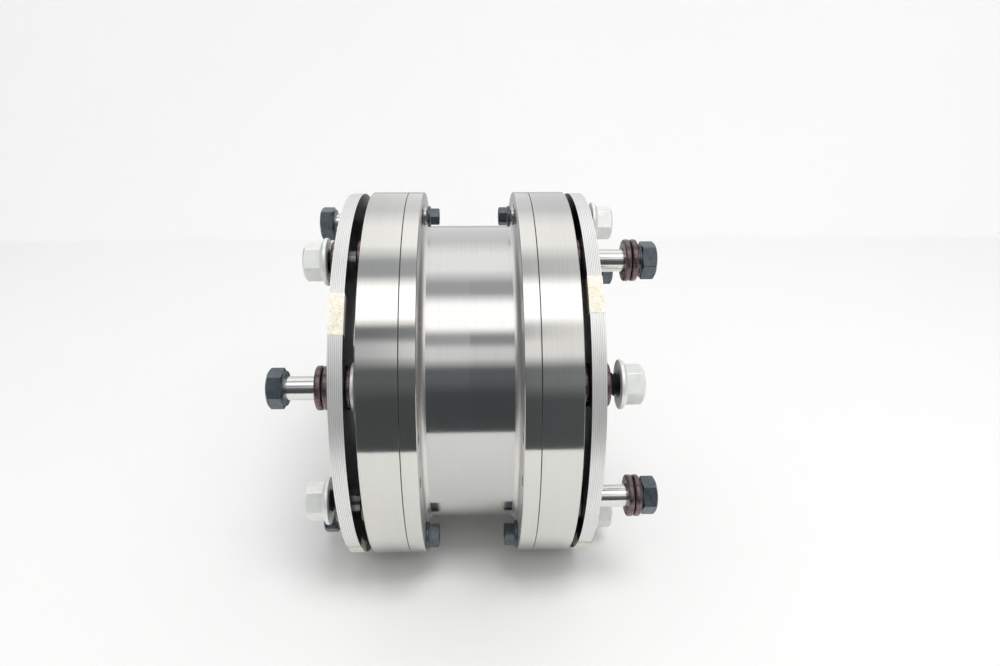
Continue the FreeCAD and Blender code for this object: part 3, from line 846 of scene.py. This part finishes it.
def build_shared_fasteners():
    """The groups of like pieces that stay with the spacer."""
    bolts, screws = [], []
    for i, (low, high) in enumerate(solids("pack_bolts")):
        side = 1 if low.x > 0 else -1
        head = side * min(abs(low.x), abs(high.x))
        y, z = axis_of(low, high)
        bolts.append(hex_bolt("bolt_pack_%d" % (i + 1), head + side * HEAD_HEIGHT, y, z, side, 0.0))
    for i, (low, high) in enumerate(solids("ring_screws")):
        screws.append(socket_screw("screw_ring_%d" % (i + 1), low, high, 1 if low.x > 0 else -1))
    collars = washers("collar_balance", "balance_collars", 3.2 * MM, 1.2 * MM, TUBE_STEEL)
    spacers = washers("washer_ring", "ring_washers", WASHER_BORE, WASHER_ROUNDING, DARK_WASHER)
    stand_for(bolts, "pack_bolts")
    stand_for(screws, "ring_screws")
    stand_for(collars, "balance_collars")
    stand_for(spacers, "ring_washers")


def build_balance_screws(kind, head, flats, shank):
    """One size of balancing screw and its washer, at both ends."""
    screw_node, washer_node = "balance_screws_" + kind, "balance_washers_" + kind
    screws = [balance_screw("screw_balance_%s_%d" % (kind, i + 1), screw_node, low, high,
                            1 if low.x > 0 else -1, head, flats, shank)
              for i, (low, high) in enumerate(solids(screw_node))]
    under = washers("washer_balance_" + kind, washer_node, shank + 0.2 * MM, 0.4 * MM, BLACK_SCREW)
    if kind == "small":
        # The tube's top shows no mirror image of these.
        for piece in screws + under:
            piece.visible_glossy = False
    stand_for(screws, screw_node)
    stand_for(under, washer_node)


# ---------------------------------------------------------------- stage, light and camera

FLOOR_HEIGHT = -FLANGE_RADIUS
TABLE_FRONT = -0.44
WALL_PLACE = 0.626
WALL_HEIGHT = 1.2
STAGE_HALF_WIDTH = 2.5


def plain_surface(name, colour, roughness):
    """A pale surface of the stage, very slightly clouded."""
    def build(graph):
        where = graph.add("ShaderNodeTexCoord").outputs["Object"]
        cloud = graph.noise(where, 3.0, 3.0, 0.5)
        tone = graph.mix(graph.range(cloud, 0.3, 0.7), colour, tuple(0.985 * c for c in colour))
        return {"Base Color": tone, "Roughness": roughness, "Specular IOR Level": 0.2}
    return principled(name, build)


def sheet(name, corners, slot):
    """One flat four-cornered surface of the stage."""
    mesh = bpy.data.meshes.new(name)
    mesh.from_pydata(corners, [], [(0, 1, 2, 3)])
    mesh.materials.append(slot)
    thing = bpy.data.objects.new(name, mesh)
    bpy.context.collection.objects.link(thing)
    return thing


def build_stage():
    """The table and, behind it, the wall, which bright metal doesn't mirror."""
    floor, top = FLOOR_HEIGHT, FLOOR_HEIGHT + WALL_HEIGHT
    left, right = -STAGE_HALF_WIDTH, STAGE_HALF_WIDTH
    front, back = TABLE_FRONT, WALL_PLACE
    table = plain_surface("table_white", (0.745, 0.75, 0.74), 0.55)
    white = plain_surface("wall_white", (0.90, 0.90, 0.905), 0.8)
    near = [(left, front, floor), (right, front, floor)]
    seam = [(left, back, floor), (right, back, floor)]
    upper = [(right, back, top), (left, back, top)]
    sheet("table", near + seam[::-1], table)
    wall = sheet("wall", seam + upper, white)
    wall.visible_glossy = False


# The made-up room that bright metal mirrors, as level bands. Each has its start and end, in degrees from the
# horizon in front over the top to the horizon behind, and its brightness at the left, middle and right.
ROOM_BANDS = (
    (-180, -90, 0.60, 0.60, 0.60),  # table
    (-60, 10, 0.08, 0.08, 0.10),    # unlit floor in front
    (20, 28, 0.14, 0.14, 0.26),     # unlit wall in front
    (36, 43, 0.50, 1.05, 1.00),     # pale bench
    (47, 53, 0.18, 0.32, 1.05),     # shade above the bench
    (59, 77, 1.70, 1.80, 1.65),     # lamps
    (87, 96, 0.45, 0.50, 0.77),     # ceiling
    (108, 126, 1.15, 1.30, 1.15),   # lit wall behind
    (145, 180, 0.78, 0.90, 0.78),   # foot of that wall
)
# The room's bands waver by this much, in degrees
ROOM_WAVER = 6.0
# Where its left third turns into the middle one, that into the right one, and all into the dark sides, as the
# sideways part of the direction looked in
LEFT_BLEND = (-0.12, -0.07)
RIGHT_BLEND = (0.055, 0.085)
SIDE_BLEND = (0.35, 0.75)
SIDE_ROOM = (0.16, 0.165, 0.17)
# Soft light from all round: from the horizon and from overhead, and its share from the front and the back
LOW_LIGHT = 0.20
HIGH_LIGHT = 0.80
FRONT_SHARE = 1.22
BACK_SHARE = 0.70


def room_stops(third):
    """Colour stops of the room's bands for one third of it. Dark bands lean to blue."""
    stops = []
    for start, end, *levels in ROOM_BANDS:
        level = levels[third]
        cool = 0.1 * max(1.0 - level, 0.0)
        colour = (level * (1.0 - cool), level, level * (1.0 + 0.5 * cool))
        stops += [((degrees + 180) / 360, colour) for degrees in (start, end)]
    return stops


def room_colour(graph, direction, x, y, z):
    """The banded room's colour in a direction."""
    height = graph.math("ARCTAN2", z, graph.math("MULTIPLY", y, -1.0))
    ragged = graph.noise(direction, 6.0, 4.0, 0.6)
    shift = graph.math("MULTIPLY", graph.math("SUBTRACT", ragged, 0.5), math.radians(ROOM_WAVER))
    turned = graph.math("ADD", height, shift)
    share = graph.math("ADD", graph.math("DIVIDE", turned, 2.0 * math.pi), 0.5)
    left, middle, right = [graph.ramp(share, room_stops(third)) for third in range(3)]
    across = graph.math("ADD", x, graph.math("MULTIPLY", shift, 0.25))
    room = graph.mix(graph.range(across, *LEFT_BLEND), left, middle)
    room = graph.mix(graph.range(across, *RIGHT_BLEND), room, right)
    sideways = graph.range(graph.math("ABSOLUTE", x), *SIDE_BLEND)
    return graph.mix(sideways, room, SIDE_ROOM)


def build_world():
    """White for the camera and for soft light; a banded room for what shiny metal reflects."""
    world = bpy.data.worlds.new("room")
    bpy.context.scene.world = world
    graph = Graph(world)
    direction = graph.add("ShaderNodeTexCoord").outputs["Generated"]
    x, y, z = graph.add("ShaderNodeSeparateXYZ", Vector=direction).outputs
    room = room_colour(graph, direction, x, y, z)
    mirrored = graph.add("ShaderNodeBackground", Color=room, Strength=1.0)
    overhead = graph.range(z, 0.0, 0.75, LOW_LIGHT, HIGH_LIGHT)
    frontal = graph.range(y, -0.7, 0.7, FRONT_SHARE, BACK_SHARE)
    softness = graph.math("MULTIPLY", overhead, frontal)
    white = graph.add("ShaderNodeBackground", Color=(1.0, 1.0, 1.0, 1.0), Strength=softness)
    shiny = graph.add("ShaderNodeLightPath").outputs["Is Glossy Ray"]
    chosen = graph.add("ShaderNodeMixShader", Fac=shiny)
    graph.tree.links.new(white.outputs[0], chosen.inputs[1])
    graph.tree.links.new(mirrored.outputs[0], chosen.inputs[2])
    output = graph.add("ShaderNodeOutputWorld")
    graph.tree.links.new(chosen.outputs[0], output.inputs["Surface"])


def soft_light(name, place, width, height, power):
    """A broad soft light that faces the middle of the part. Shiny metal doesn't show it."""
    light = bpy.data.lights.new(name, "AREA")
    light.shape = "RECTANGLE"
    light.size, light.size_y, light.energy = width, height, power
    thing = bpy.data.objects.new(name, light)
    bpy.context.collection.objects.link(thing)
    thing.location = place
    thing.rotation_mode = "QUATERNION"
    thing.rotation_quaternion = (-Vector(place)).to_track_quat("-Z", "Y")
    thing.visible_glossy = False


def build_camera():
    """The camera of the photo: back along the line of sight, then pitched, turned and rolled slightly."""
    rise = math.radians(CAMERA_ELEVATION)
    towards = Vector((0, -math.cos(rise), math.sin(rise)))
    upright = Vector((0, math.sin(rise), math.cos(rise)))
    roll = Matrix.Rotation(math.radians(CAMERA_ROLL), 3, "Z")
    pitch = Matrix.Rotation(math.radians(CAMERA_PITCH), 3, "X")
    yaw = Matrix.Rotation(math.radians(CAMERA_YAW), 3, "Y")
    turn = roll @ pitch @ yaw

    def in_world(row):
        return row[0] * Vector((1, 0, 0)) - row[1] * upright - row[2] * towards

    right, down, ahead = (in_world(turn[i]) for i in range(3))
    data = bpy.data.cameras.new("photo_camera")
    data.sensor_width, data.lens = 36.0, CAMERA_LENS
    data.clip_start, data.clip_end = 0.01, 50.0
    camera = bpy.data.objects.new("photo_camera", data)
    bpy.context.collection.objects.link(camera)
    place = Matrix((right, -down, -ahead)).transposed().to_4x4()
    camera.matrix_world = Matrix.Translation(towards * CAMERA_DISTANCE) @ place
    bpy.context.scene.camera = camera


build_body()
for end_name, end_side in END_SIDES:
    build_hub_fasteners(end_name, end_side)
    build_pack_nuts(end_name, end_side)
build_shared_fasteners()
build_balance_screws("small", head=5.2 * MM, flats=9.525 * MM, shank=3.1 * MM)
build_balance_screws("large", head=6.2 * MM, flats=12.7 * MM, shank=3.9 * MM)
build_stage()
build_world()
soft_light("window", (0.5, -1.8, 2.2), width=2.4, height=1.4, power=20.0)
soft_light("ceiling", (0.35, -1.05, 2.45), width=1.1, height=0.9, power=38.0)
build_camera()
bpy.context.scene.view_settings.view_transform = "Standard"
bpy.context.scene.view_settings.look = "None"
